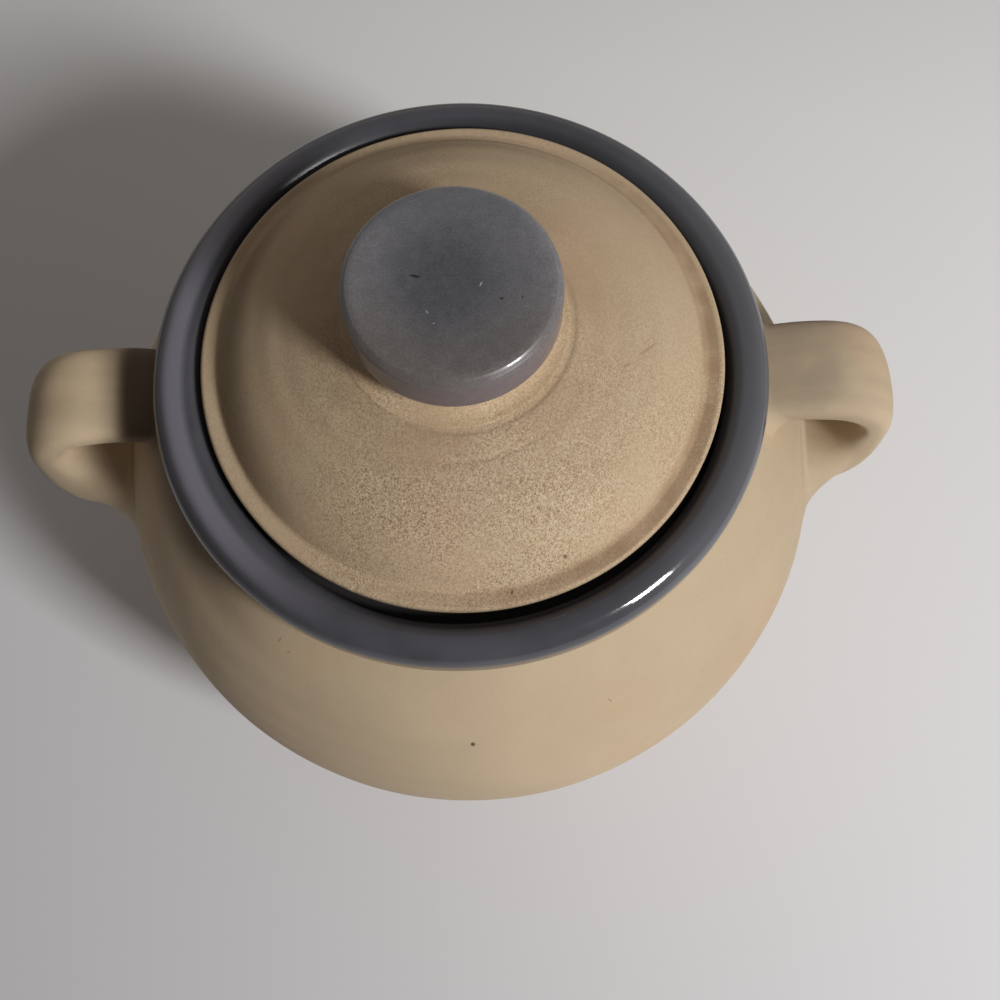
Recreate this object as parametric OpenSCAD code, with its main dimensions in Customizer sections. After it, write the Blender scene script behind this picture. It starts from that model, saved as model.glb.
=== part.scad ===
// Lidded stoneware crock jar: a round-bellied pot with a rolled, glazed rim, two strap handles
// and a loose domed lid with a disc knob. The lid drops into a seat inside the rim.
// Millimetres, +Z up. The origin is the centre of the foot, on the surface that the pot stands on.
// +X runs out through the right handle.

/* [Pot] */
// Height of the pot, from its foot to the top of its rim
pot_h = 125; // [112:0.5:140]
// Diameter of the belly at its widest level
belly_d = 163; // [150:0.5:180]
// Radius of the curve from the belly's widest level up to the shoulder, seen from the side
belly_curve_r = 77; // [70:0.5:90]
// Thickness of the clay wall
wall_t = 6.5; // [5:0.25:8]
// Thickness of the clay floor
floor_t = 7; // [5:0.25:10]
// Diameter of the foot
foot_d = 104; // [90:0.5:116]
// Height of the foot
foot_h = 3; // [2:0.25:5]
// Step from the belly in to the foot
foot_step = 1.5; // [0.5:0.25:3]
// Width of the ring that the pot stands on
foot_ring_w = 8; // [5:0.5:14]
// Depth of the recess inside that ring
foot_recess = 1.5; // [0.5:0.25:2.5]

/* [Rim and seat] */
// Diameter of the rolled rim over its glaze
rim_d = 120; // [112:0.5:130]
// Radial width of the rolled rim over its glaze
rim_w = 8; // [7:0.25:9.5]
// Height of the rolled rim over its glaze
rim_h = 11; // [9:0.25:13]
// How far the rim stands out past the shoulder below it
rim_overhang = 2; // [1:0.25:3]
// Depth of the lid's seat below the top of the rim
seat_depth = 4.6; // [3.5:0.1:6.5]
// Width of the seat's ledge
seat_w = 6; // [4:0.25:8]

/* [Glaze] */
// Thickness of the grey glaze on the rim and the knob
glaze_t = 0.7; // [0.4:0.05:0.9]
// Thickness of the glaze that lines the pot and the lid
liner_t = 0.6; // [0.4:0.05:1]

/* [Lid] */
// Gap between the lid's edge and the rim around it
lid_gap = 1.6; // [0.6:0.1:2.5]
// Clearance between the lid and its seat
seat_clearance = 0.3; // [0.2:0.05:0.5]
// Height of the lid's edge
lid_edge_h = 6.5; // [5:0.25:9]
// Radius of the rounding along the lid's upper edge
lid_edge_round = 1.2; // [0.5:0.1:2]
// Width of the flat band inside the lid's edge
lid_band_w = 4; // [2.5:0.25:6]
// Rise of the lid's dome, from its band to its crown
lid_rise = 14; // [11:0.5:18]
// Thickness of the lid's clay
lid_t = 5.5; // [4:0.25:7]
// Width of the crown's margin round the foot of the knob's neck
crown_margin = 2; // [1:0.25:4]

/* [Knob] */
// Diameter of the knob over its glaze
knob_d = 38.4; // [34:0.2:46]
// Thickness of the knob over its glaze
knob_t = 10.2; // [8:0.2:14]
// Radius of the rounding along the knob's upper edge
knob_top_round = 2.8; // [2:0.1:3.6]
// Radius of the rounding along the knob's lower edge
knob_low_round = 1.6; // [1.2:0.1:2]
// Diameter of the knob's neck
neck_d = 30; // [24:0.5:32]
// Height of the knob's neck
neck_h = 4.8; // [4.5:0.1:7]
// Radius of the fillet at the foot of the neck
neck_fillet = 4; // [2:0.1:4]
// Thickness of the fillet's outer edge
neck_skirt_t = 0.4; // [0.3:0.05:0.5]

/* [Handles] */
// How far each handle stands out past the belly
handle_out = 9.5; // [8:0.5:16]
// Drop from the top of the rim to the top of the strap, where the strap bends down
handle_drop = 8.7; // [8:0.1:16]
// Width of the strap
handle_w = 20; // [14:0.5:28]
// Thickness of the strap
handle_t = 6.5; // [6:0.25:8]
// Radius of the rounding along the strap's edges
handle_round = 2.6; // [1:0.1:2.9]
// Radius of the strap's arch between the shoulder and its upper bend, along its middle
handle_arch_r = 60; // [40:1:90]
// Radius of the strap's upper bend, along its middle
handle_bend_r = 10.5; // [8:0.5:14]
// Height of the straight leg below the upper bend
leg_h = 24; // [16:1:30]
// Radius of the leg's lower bend in to the belly, along its middle
leg_bend_r = 22; // [19:1:28]

/* [Hidden] */
$fn = 128;

clay_colour = [0.69, 0.60, 0.48];
grey_glaze_colour = [0.30, 0.30, 0.33];
liner_colour = [0.42, 0.41, 0.42];

// Rim: a ring with a half-round roll above and below
rim_r = rim_d / 2;
rim_in_r = rim_r - rim_w;
rim_mid_r = rim_r - rim_w / 2;
rim_roll_r = rim_w / 2;
rim_top_roll_z = pot_h - rim_roll_r;
rim_low_roll_z = pot_h - rim_h + rim_roll_r;

// Seat inside the rim, and the throat below it
seat_z = pot_h - seat_depth;
throat_r = rim_in_r - seat_w;

// The shoulder meets the rim's lower roll on this circle
shoulder_r = rim_r - rim_overhang;
shoulder_z = rim_low_roll_z - sqrt(pow(rim_roll_r, 2) - pow(rim_roll_r - rim_overhang, 2));

// Above its widest level the belly is an arc up to the shoulder, and below it one in to the foot
belly_r = belly_d / 2;
top_arc_mid_r = belly_r - belly_curve_r;
belly_z = shoulder_z - sqrt(pow(belly_curve_r, 2) - pow(shoulder_r - top_arc_mid_r, 2));
foot_r = foot_d / 2;
arc_foot_r = foot_r + foot_step;
low_arc_mid_r = (pow(belly_r, 2) - pow(arc_foot_r, 2) - pow(belly_z - foot_h, 2)) / (2 * (belly_r - arc_foot_r));
floor_z = foot_recess + floor_t;

// Lid: it stands on the seat, and its dome is part of a sphere centred on the axis
lid_r = rim_in_r - lid_gap;
lid_low_z = seat_z + seat_clearance;
lid_edge_z = lid_low_z + lid_edge_h;
crown_z = lid_edge_z + lid_rise;
neck_r = neck_d / 2;
neck_foot_r = neck_r + neck_fillet;
crown_r = neck_foot_r + crown_margin;
dome_foot_r = lid_r - lid_band_w;
dome_mid_z = lid_edge_z + (pow(lid_rise, 2) + pow(crown_r, 2) - pow(dome_foot_r, 2)) / (2 * lid_rise);
dome_r = sqrt(pow(dome_foot_r, 2) + pow(lid_edge_z - dome_mid_z, 2));

// Knob
knob_r = knob_d / 2;
knob_low_z = crown_z + neck_h;
knob_top_z = knob_low_z + knob_t;

// Handle: its middle line arches out from the shoulder, bends down, and turns in to the belly
leg_x = belly_r + handle_out - handle_t / 2;
bend_x = leg_x - handle_bend_r;
bend_z = pot_h - handle_drop - handle_t / 2 - handle_bend_r;
leg_low_z = bend_z - leg_h;
leg_bend_x = leg_x - leg_bend_r;
leg_turn = acos((belly_r - wall_t - leg_bend_x) / leg_bend_r);
arch_z = bend_z + handle_bend_r - handle_arch_r;
arch_turn = asin((bend_x - shoulder_r + wall_t) / handle_arch_r);

// Half-section of the belly up to a level, from the axis out to its surface or to one set in from it
module belly_2d(inset = 0, top_z = rim_low_roll_z) {
    low_arc_r = belly_r - low_arc_mid_r - inset;
    intersection() {
        translate([top_arc_mid_r, belly_z]) circle(r = belly_curve_r - inset);
        translate([0, belly_z]) square([belly_r, top_z - belly_z]);
    }
    intersection() {
        union() {
            translate([low_arc_mid_r, belly_z]) circle(r = low_arc_r);
            // A wide belly's lower arc is centred off the axis, and the bottom is flat inside that
            if (low_arc_mid_r > 0)
                translate([0, belly_z - low_arc_r]) square([low_arc_mid_r, low_arc_r]);
        }
        translate([0, foot_h]) square([belly_r, belly_z - foot_h]);
    }
}

// Half-section of the rolled rim, or of a ring set in from it
module rim_2d(inset = 0) {
    for (roll_z = [rim_low_roll_z, rim_top_roll_z])
        translate([rim_mid_r, roll_z]) circle(r = rim_roll_r - inset);
    translate([rim_in_r + inset, rim_low_roll_z])
        square([rim_w - 2 * inset, rim_top_roll_z - rim_low_roll_z]);
}

// Half-section of the hollow inside the pot, up to its seat
module cavity_2d(inset = 0) {
    intersection() {
        belly_2d(wall_t + inset, shoulder_z - inset);
        translate([0, floor_z + inset]) square([belly_r, pot_h]);
    }
    translate([0, belly_z]) square([throat_r - inset, seat_z - belly_z]);
}

// Half-section of the pot's clay
module pot_2d() {
    difference() {
        union() {
            belly_2d();
            square([foot_r, foot_h]);
            translate([0, shoulder_z]) square([rim_mid_r, seat_z - shoulder_z]);
            rim_2d(glaze_t);
        }
        cavity_2d();
        translate([0, seat_z]) square([rim_in_r + glaze_t, pot_h]);
        square([foot_r - foot_ring_w, foot_recess]);
    }
}

// Half-section of the hollow under the lid's dome
module lid_hollow_2d(inset = 0) {
    intersection() {
        translate([0, dome_mid_z]) circle(r = dome_r - lid_t - inset);
        translate([0, lid_low_z]) square([lid_r, crown_z]);
    }
}

// Half-section of the lid's clay
module lid_2d() {
    difference() {
        union() {
            intersection() {
                translate([0, dome_mid_z]) circle(r = dome_r);
                translate([0, lid_edge_z]) square([lid_r, lid_rise]);
            }
            translate([0, lid_low_z]) square([lid_r, lid_edge_h - lid_edge_round]);
            translate([0, lid_low_z]) square([lid_r - lid_edge_round, lid_edge_h]);
            translate([lid_r - lid_edge_round, lid_edge_z - lid_edge_round]) circle(r = lid_edge_round);
        }
        lid_hollow_2d();
    }
}

// Half-section of the knob's disc, or of a disc set in from it
module disc_2d(inset = 0) {
    r = knob_r - inset;
    low_z = knob_low_z + inset;
    top_z = knob_top_z - inset;
    top_round = knob_top_round - inset;
    low_round = knob_low_round - inset;
    translate([0, low_z]) square([r - top_round, top_z - low_z]);
    translate([0, low_z]) square([r - low_round, top_z - top_round - low_z]);
    translate([0, low_z + low_round]) square([r, top_z - top_round - low_z - low_round]);
    translate([r - top_round, top_z - top_round]) circle(r = top_round);
    translate([r - low_round, low_z + low_round]) circle(r = low_round);
}

// Half-section of the knob's neck, with the fillet at its foot
module neck_2d() {
    translate([0, crown_z]) square([neck_r, neck_h + knob_t / 2]);
    difference() {
        translate([0, crown_z]) square([neck_foot_r, neck_fillet + neck_skirt_t]);
        translate([neck_foot_r, crown_z + neck_fillet + neck_skirt_t]) circle(r = neck_fillet);
    }
}

// Section across the handle's strap: its thickness along X and its width along Y
module strap_2d() {
    core_t = handle_t - 2 * handle_round;
    core_w = handle_w - 2 * handle_round;
    square([handle_t, core_w], center = true);
    square([core_t, handle_w], center = true);
    for (x = [-0.5, 0.5], y = [-0.5, 0.5])
        translate([x * core_t, y * core_w]) circle(r = handle_round);
}

// A bend of the strap about an axis along Y, from +X up towards +Z
module strap_bend(bend_r, turn) {
    rotate([90, 0, 0]) rotate_extrude(angle = turn) translate([bend_r, 0]) strap_2d();
}

// The whole strap on the +X side, trimmed to the outside of the pot
module handle() {
    difference() {
        union() {
            translate([bend_x, 0, arch_z]) rotate([0, -90, 0]) strap_bend(handle_arch_r, arch_turn);
            translate([bend_x, 0, bend_z]) strap_bend(handle_bend_r, 90);
            translate([leg_x, 0, leg_low_z]) linear_extrude(leg_h) strap_2d();
            translate([leg_bend_x, 0, leg_low_z]) mirror([0, 0, 1]) strap_bend(leg_bend_r, leg_turn);
        }
        rotate_extrude() belly_2d();
    }
}

module pot_body() {
    color(clay_colour) rotate_extrude() pot_2d();
}

// The rim's glaze runs from the shoulder, over the roll, down to the seat
module rim_glaze() {
    color(grey_glaze_colour)
        rotate_extrude()
            difference() {
                rim_2d();
                pot_2d();
                square([rim_mid_r, seat_z]);
            }
}

module liner_glaze() {
    color(liner_colour)
        rotate_extrude()
            difference() {
                cavity_2d();
                cavity_2d(liner_t);
            }
}

module handle_right() {
    color(clay_colour) handle();
}

module handle_left() {
    color(clay_colour) rotate([0, 0, 180]) handle();
}

module lid_body() {
    color(clay_colour) rotate_extrude() lid_2d();
}

module lid_liner_glaze() {
    color(liner_colour)
        rotate_extrude()
            difference() {
                lid_hollow_2d();
                lid_hollow_2d(liner_t);
            }
}

module knob() {
    color(clay_colour)
        rotate_extrude() {
            disc_2d(glaze_t);
            neck_2d();
        }
}

module knob_glaze() {
    color(grey_glaze_colour)
        rotate_extrude()
            difference() {
                disc_2d();
                disc_2d(glaze_t);
                neck_2d();
            }
}

pot_body();
rim_glaze();
liner_glaze();
handle_left();
handle_right();
lid_body();
lid_liner_glaze();
knob();
knob_glaze();
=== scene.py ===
import math

import bmesh
import bpy
from mathutils import Matrix, Vector, noise


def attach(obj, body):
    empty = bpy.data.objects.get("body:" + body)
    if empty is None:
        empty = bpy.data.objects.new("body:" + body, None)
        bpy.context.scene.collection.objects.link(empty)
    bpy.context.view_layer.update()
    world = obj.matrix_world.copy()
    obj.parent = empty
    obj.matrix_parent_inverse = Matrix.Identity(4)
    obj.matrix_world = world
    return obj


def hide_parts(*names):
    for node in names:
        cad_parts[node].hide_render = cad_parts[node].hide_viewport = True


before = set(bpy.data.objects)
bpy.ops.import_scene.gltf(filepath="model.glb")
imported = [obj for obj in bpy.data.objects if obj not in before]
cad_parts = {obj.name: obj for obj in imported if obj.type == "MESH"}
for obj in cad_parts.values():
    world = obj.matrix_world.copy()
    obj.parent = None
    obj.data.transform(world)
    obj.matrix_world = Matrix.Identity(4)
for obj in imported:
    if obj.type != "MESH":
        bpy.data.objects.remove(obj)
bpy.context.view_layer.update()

# The looks of a lidded stoneware crock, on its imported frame.
# Sizes are in millimetres, as in the part's source, and become metres where a vertex or a pattern is made.
MM = 0.001

# Pot
FOOT_R = 52.0
FOOT_H = 3.0
FOOT_RING_W = 8.0
FOOT_RECESS = 1.5
FOOT_EDGE_R = 0.8
FOOT_CREASE_R = 0.4
BELLY_FOOT_R = 53.5
BELLY_Z = 59.158
UPPER_MID_R = 4.5
UPPER_ARC_R = 77.0
LOWER_MID_R = 11.183
LOWER_ARC_R = 70.317
WALL_T = 6.5
FLOOR_Z = 8.5
LINING_T = 0.6

# Rim and seat
RIM_MID_R = 56.0
RIM_ROLL_R = 4.0
RIM_LOW_Z = 118.0
RIM_HIGH_Z = 121.0
ROLL_FOOT_R = 57.47
ROLL_FOOT_Z = 115.04
ROLL_FOOT_DEGREES = 46.53
COAT_T = 0.7
COAT_MID_R = 56.15
COAT_ROLL_R = 4.25
COAT_FOOT_R = 58.02
COAT_FOOT_Z = 114.50
COAT_LIP_R = 58.30
COAT_LIP_Z = 114.56
COAT_BEAD_DEGREES = -52
SEAT_Z = 120.4
SEAT_OUT_R = 49.2
SEAT_EDGE_R = 0.4
CHANNEL_Z = 117.9
CHANNEL_GLAZE_T = 0.25
CHANNEL_GLAZE_R = 0.75
THROAT_R = 46.0
CEILING_Z = 114.536

# How far the pot strays from the round
OVAL = 0.08
THREE_LOBES = 0.10
THREE_LOBES_TURN = 1.1
DENT = 1.6
DENT_DEGREES = 42
DENT_HALF_DEGREES = 36
RING_DEPTH = 0.07
RING_SPACING = 8.5
RIM_OVAL = 0.3
RIM_FAT = 1.8
RIM_FAT_DEGREES = 197
RIM_FAT_HALF_DEGREES = 65
RIM_RUN = 0.35
RIM_LUMPS = 0.05
RIM_CREST = 0.06

# Lid
LID_LOW_Z = 120.7
LID_R = 50.4
LID_FOOT_R = 48.6
LID_FOOT_EDGE = 0.5
LID_EDGE_Z = 126.2
LID_EDGE_LOW_Z = 124.2
LID_EDGE_ROUND = 0.8
LID_LIP_W = 0.15
LID_LIP_H = 0.5
HOLLOW_MID_Z = 73.06
HOLLOW_R = 65.8
CROWN_R = 21.0
CROWN_Z = 141.2
CROWN_SLOPE = 16.0
SHOULDER_R = 34.0
SHOULDER_SLOPE = 23.0
DOME_ARC_R = 113.0
SHOULDER_ARC_R = 30.5
BAND_FILLET_R = 1.1
GROOVE_DEGREES = 2.2
LID_GROWTH = 0.5
LID_DRIFT = 0.8
LID_DRIFT_TURN = math.radians(45)

# Tool marks on the lid
DOME_RINGS = 0.04
DOME_RING_SPACING = 5.2
DOME_LUMPS = 0.10
CROWN_GROOVE = 0.20
CROWN_GROOVE_R = 21.6
CROWN_GROOVE_TURN = math.radians(62)
FRONT_SCORE = 0.15
FRONT_SCORE_R = 26.4
FRONT_SCORE_TURN = math.radians(84)
BACK_FILL = 0.45
BACK_FILL_R = 46.6
EDGE_LUMPS = 0.08

# Knob
KNOB_R = 19.2
KNOB_LOW_Z = 146.0
KNOB_TOP_Z = 156.2
KNOB_TOP_EDGE_R = 2.8
KNOB_LOW_EDGE_R = 1.6
NECK_R = 15.8
NECK_FILLET_R = 4.7
NECK_SKIRT = 0.1
KNOB_LUMPS = 0.06
KNOB_EDGE_BEAD = 0.10
KNOB_TOP_FALL = 0.18

# Meshes
TURN_STEPS = 224
STRAP_STEPS_ALONG = 220
STRAP_STEPS_AROUND = 84
WELD = 1e-6
SHARP_ANGLE = math.radians(38)


class Pen:
    """Draws half a section in the XZ plane, ready to be turned about the Z axis.

    The last number of a stroke is the count of its pieces.
    """

    def __init__(self, r, z):
        self.mesh = bmesh.new()
        self.tip = self.mesh.verts.new((r * MM, 0, z * MM))

    def line(self, r, z, pieces=1):
        """A straight line to a point, in equal pieces."""
        start = self.tip.co.copy()
        end = Vector((r * MM, 0, z * MM))
        for i in range(pieces):
            made = bmesh.ops.extrude_vert_indiv(self.mesh, verts=[self.tip])
            self.tip = made["verts"][0]
            self.tip.co = start.lerp(end, (i + 1) / pieces)

    def arc(self, mid_r, mid_z, degrees, pieces):
        """An arc about a point. Positive degrees run against the clock, with +X to the right."""
        made = bmesh.ops.spin(
            self.mesh,
            geom=[self.tip],
            cent=(mid_r * MM, 0, mid_z * MM),
            axis=(0, -1, 0),
            angle=math.radians(degrees),
            steps=pieces,
        )
        self.tip = made["geom_last"][0]

    def turn(self):
        """The section turned once round, as on the wheel."""
        mesh = self.mesh
        bmesh.ops.remove_doubles(mesh, verts=mesh.verts, dist=WELD)
        bmesh.ops.spin(
            mesh,
            geom=mesh.verts[:] + mesh.edges[:],
            cent=(0, 0, 0),
            axis=(0, 0, 1),
            angle=math.tau,
            steps=TURN_STEPS,
            use_merge=True,
        )
        bmesh.ops.remove_doubles(mesh, verts=mesh.verts, dist=WELD)
        bmesh.ops.recalc_face_normals(mesh, faces=mesh.faces)
        return mesh


def degrees_at(mid_r, mid_z, r, z):
    """Direction from a section's centre to one of its points, in degrees."""
    return math.degrees(math.atan2(z - mid_z, r - mid_r))


def level_degrees(arc_r, mid_z, z):
    """Direction at which an arc, centred at mid_z, reaches the level z on its outer side."""
    return math.degrees(math.asin((z - mid_z) / arc_r))


def smooth_step(low, high, x):
    """0 up to low and 1 from high on, with a smooth change between them. Low may be the larger one."""
    t = min(1.0, max(0.0, (x - low) / (high - low)))
    return t * t * (3 - 2 * t)


def bell(x, middle, half_width):
    """1 at the middle, falling smoothly to 0 at half_width from it."""
    t = abs(x - middle) / half_width
    return (1 - t * t) ** 2 if t < 1 else 0.0


def polar(co):
    """Radius and height in millimetres, and direction round the axis in radians."""
    return math.hypot(co.x, co.y) / MM, co.z / MM, math.atan2(co.y, co.x)


def swell(co, r, amount):
    """Moves a point out from the axis by an amount in millimetres."""
    if r > 0:
        co.x *= 1 + amount / r
        co.y *= 1 + amount / r


def lumps(co, size, seed):
    """Soft noise from -1 to 1, with lumps of about that size in millimetres."""
    return noise.noise(co / (size * MM) + Vector((seed, 2 * seed, -seed)))


def finished(name, mesh, finish, body, node):
    """Makes a piece of the object from a shaped mesh, in place of its CAD node."""
    for edge in mesh.edges:
        edge.smooth = len(edge.link_faces) != 2 or edge.calc_face_angle() < SHARP_ANGLE
    for face in mesh.faces:
        face.smooth = True
    data = bpy.data.meshes.new(name)
    mesh.to_mesh(data)
    mesh.free()
    data.materials.append(finish)
    piece = bpy.data.objects.new(name, data)
    bpy.context.scene.collection.objects.link(piece)
    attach(piece, body)
    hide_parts(node)
    return piece


# Shapes of the pot

def thrown_wobble(co):
    """Out-of-round that the wheel and the drying left in the pot, its lining and its rim alike."""
    r, z, turn = polar(co)
    lift = smooth_step(5, 60, z)
    amount = OVAL * math.cos(2 * turn) + THREE_LOBES * math.cos(3 * turn + THREE_LOBES_TURN)
    dent = DENT * bell(math.degrees(turn), DENT_DEGREES, DENT_HALF_DEGREES) * smooth_step(117, 100, z)
    swell(co, r, lift * (amount - dent) * min(1.0, r / THROAT_R))


def throwing_rings(co, depth):
    """A shallow spiral of finger rings, waxing and waning round the pot."""
    r, z, turn = polar(co)
    waxing = 0.6 + 0.4 * lumps(co, size=45, seed=3.1)
    phase = math.tau * z / RING_SPACING + turn
    swell(co, r, depth * waxing * math.sin(phase) + depth * lumps(co, size=22, seed=8.7))


def belly_gap(co):
    """Distance out from the belly's surface in millimetres, and the direction straight out of it."""
    r, z, turn = polar(co)
    mid_r = UPPER_MID_R if z > BELLY_Z else LOWER_MID_R
    arc_r = UPPER_ARC_R if z > BELLY_Z else LOWER_ARC_R
    out_r = r - mid_r
    out_z = z - BELLY_Z
    reach = math.hypot(out_r, out_z)
    direction = Vector((math.cos(turn) * out_r, math.sin(turn) * out_r, out_z)) / reach
    return reach - arc_r, direction


def pot_clay(finish):
    """The thrown pot: foot, belly, rim under its coat, seat, throat and hollow."""
    roll_start = degrees_at(RIM_MID_R, RIM_LOW_Z, ROLL_FOOT_R, ROLL_FOOT_Z)
    core_r = RIM_ROLL_R - COAT_T
    ring_in_r = FOOT_R - FOOT_RING_W
    lower_start = degrees_at(LOWER_MID_R, BELLY_Z, BELLY_FOOT_R, FOOT_H)
    hollow_r = UPPER_ARC_R - WALL_T
    hollow_top = level_degrees(hollow_r, BELLY_Z, CEILING_Z)
    hollow_low = level_degrees(LOWER_ARC_R - WALL_T, BELLY_Z, FLOOR_Z)
    pen = Pen(0, FOOT_RECESS)
    pen.line(ring_in_r, FOOT_RECESS, 12)
    pen.line(ring_in_r, FOOT_EDGE_R)
    pen.arc(ring_in_r + FOOT_EDGE_R, FOOT_EDGE_R, 90, 4)
    pen.line(FOOT_R - FOOT_EDGE_R, 0, 4)
    pen.arc(FOOT_R - FOOT_EDGE_R, FOOT_EDGE_R, 90, 4)
    pen.line(FOOT_R, FOOT_H - FOOT_CREASE_R, 2)
    pen.arc(FOOT_R + FOOT_CREASE_R, FOOT_H - FOOT_CREASE_R, -90, 3)
    pen.line(BELLY_FOOT_R, FOOT_H, 2)
    pen.arc(LOWER_MID_R, BELLY_Z, -lower_start, 52)
    pen.arc(UPPER_MID_R, BELLY_Z, ROLL_FOOT_DEGREES, 56)
    pen.arc(RIM_MID_R, RIM_LOW_Z, -roll_start, 5)
    pen.line(RIM_MID_R + core_r, RIM_HIGH_Z, 2)
    pen.arc(RIM_MID_R, RIM_HIGH_Z, 180, 12)
    pen.line(RIM_MID_R - core_r, CHANNEL_Z, 2)
    pen.line(SEAT_OUT_R, CHANNEL_Z, 2)
    pen.line(SEAT_OUT_R, SEAT_Z - SEAT_EDGE_R, 2)
    pen.arc(SEAT_OUT_R - SEAT_EDGE_R, SEAT_Z - SEAT_EDGE_R, 90, 3)
    pen.line(THROAT_R, SEAT_Z, 4)
    pen.line(THROAT_R, CEILING_Z, 4)
    pen.line(UPPER_MID_R + hollow_r * math.cos(math.radians(hollow_top)), CEILING_Z)
    pen.arc(UPPER_MID_R, BELLY_Z, -hollow_top, 30)
    pen.arc(LOWER_MID_R, BELLY_Z, hollow_low, 28)
    pen.line(0, FLOOR_Z, 10)
    mesh = pen.turn()
    for vert in mesh.verts:
        z = vert.co.z / MM
        outside = belly_gap(vert.co)[0] > -1
        if outside and FOOT_H < z < CEILING_Z:
            fade = smooth_step(CEILING_Z, CEILING_Z - 9, z) * smooth_step(FOOT_H, FOOT_H + 4, z)
            throwing_rings(vert.co, RING_DEPTH * fade)
        thrown_wobble(vert.co)
    finished("thrown_pot", mesh, finish, "pot", "pot_body")


def glaze_runs(co):
    """The coat's own unevenness: runs at its lower edge, a fat left inside, soft lumps, a raised ring."""
    r, z, turn = polar(co)
    ring = Vector((math.cos(turn), math.sin(turn), 0)) * RIM_MID_R * MM
    run = RIM_RUN * smooth_step(117, 114.6, z) * lumps(ring, size=14, seed=5.3)
    swell(co, r, run + RIM_OVAL * math.cos(2 * turn) * smooth_step(53.5, 58, r))
    co.z -= run * MM
    fatter = RIM_FAT * bell(math.degrees(turn) % 360, RIM_FAT_DEGREES, RIM_FAT_HALF_DEGREES)
    swell(co, r, -fatter * smooth_step(56.5, 53.0, r) * smooth_step(118.5, 121, z))
    if r > RIM_MID_R - 3 and z > 116:
        swell(co, r, RIM_LUMPS * lumps(co, size=12, seed=1.7))
    if z > RIM_HIGH_Z + COAT_T + 1.0:
        co.z += RIM_CREST * bell(r, 54.8, 0.9) * MM


def rim_coat(finish):
    """The thick coat of glaze over the rolled rim, ending in a soft bead on the shoulder."""
    core_r = RIM_ROLL_R - COAT_T
    roll_start = degrees_at(RIM_MID_R, RIM_LOW_Z, ROLL_FOOT_R, ROLL_FOOT_Z)
    bead_r = COAT_MID_R + COAT_ROLL_R * math.cos(math.radians(COAT_BEAD_DEGREES))
    bead_z = RIM_LOW_Z + COAT_ROLL_R * math.sin(math.radians(COAT_BEAD_DEGREES))
    inner_r = COAT_MID_R - COAT_ROLL_R
    pool_z = CHANNEL_Z + CHANNEL_GLAZE_T
    pen = Pen(ROLL_FOOT_R, ROLL_FOOT_Z)
    pen.line(COAT_FOOT_R, COAT_FOOT_Z, 2)
    pen.line(COAT_LIP_R, COAT_LIP_Z)
    pen.line(bead_r, bead_z)
    pen.arc(COAT_MID_R, RIM_LOW_Z, -COAT_BEAD_DEGREES, 9)
    pen.line(COAT_MID_R + COAT_ROLL_R, RIM_HIGH_Z, 4)
    pen.arc(COAT_MID_R, RIM_HIGH_Z, 180, 40)
    pen.line(inner_r, pool_z + CHANNEL_GLAZE_R, 4)
    pen.arc(inner_r - CHANNEL_GLAZE_R, pool_z + CHANNEL_GLAZE_R, -90, 4)
    pen.line(SEAT_OUT_R, pool_z, 2)
    pen.line(SEAT_OUT_R, CHANNEL_Z)
    pen.line(RIM_MID_R - core_r, CHANNEL_Z, 2)
    pen.line(RIM_MID_R - core_r, RIM_HIGH_Z, 2)
    pen.arc(RIM_MID_R, RIM_HIGH_Z, -180, 12)
    pen.line(RIM_MID_R + core_r, RIM_LOW_Z, 2)
    pen.arc(RIM_MID_R, RIM_LOW_Z, roll_start, 5)
    mesh = pen.turn()
    for vert in mesh.verts:
        glaze_runs(vert.co)
        thrown_wobble(vert.co)
    finished("rim_coat", mesh, finish, "pot", "rim_glaze")


def pot_lining(finish):
    """The glaze that lines the hollow and the throat."""
    outer_r = UPPER_ARC_R - WALL_T
    inner_r = outer_r - LINING_T
    low_outer_r = LOWER_ARC_R - WALL_T
    low_inner_r = low_outer_r - LINING_T
    ceiling_z = CEILING_Z - LINING_T
    outer_top = level_degrees(outer_r, BELLY_Z, CEILING_Z)
    inner_top = level_degrees(inner_r, BELLY_Z, ceiling_z)
    outer_low = level_degrees(low_outer_r, BELLY_Z, FLOOR_Z)
    inner_low = level_degrees(low_inner_r, BELLY_Z, FLOOR_Z + LINING_T)
    pen = Pen(0, FLOOR_Z)
    pen.line(LOWER_MID_R + low_outer_r * math.cos(math.radians(outer_low)), FLOOR_Z, 10)
    pen.arc(LOWER_MID_R, BELLY_Z, -outer_low, 28)
    pen.arc(UPPER_MID_R, BELLY_Z, outer_top, 30)
    pen.line(THROAT_R, CEILING_Z)
    pen.line(THROAT_R, SEAT_Z, 4)
    pen.arc(THROAT_R, SEAT_Z - LINING_T, 90, 4)
    pen.line(THROAT_R - LINING_T, ceiling_z, 5)
    pen.line(UPPER_MID_R + inner_r * math.cos(math.radians(inner_top)), ceiling_z, 2)
    pen.arc(UPPER_MID_R, BELLY_Z, -inner_top, 40)
    pen.arc(LOWER_MID_R, BELLY_Z, inner_low, 38)
    pen.line(0, FLOOR_Z + LINING_T, 14)
    mesh = pen.turn()
    for vert in mesh.verts:
        thrown_wobble(vert.co)
    finished("pot_lining", mesh, finish, "pot", "liner_glaze")


# Handles

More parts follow.
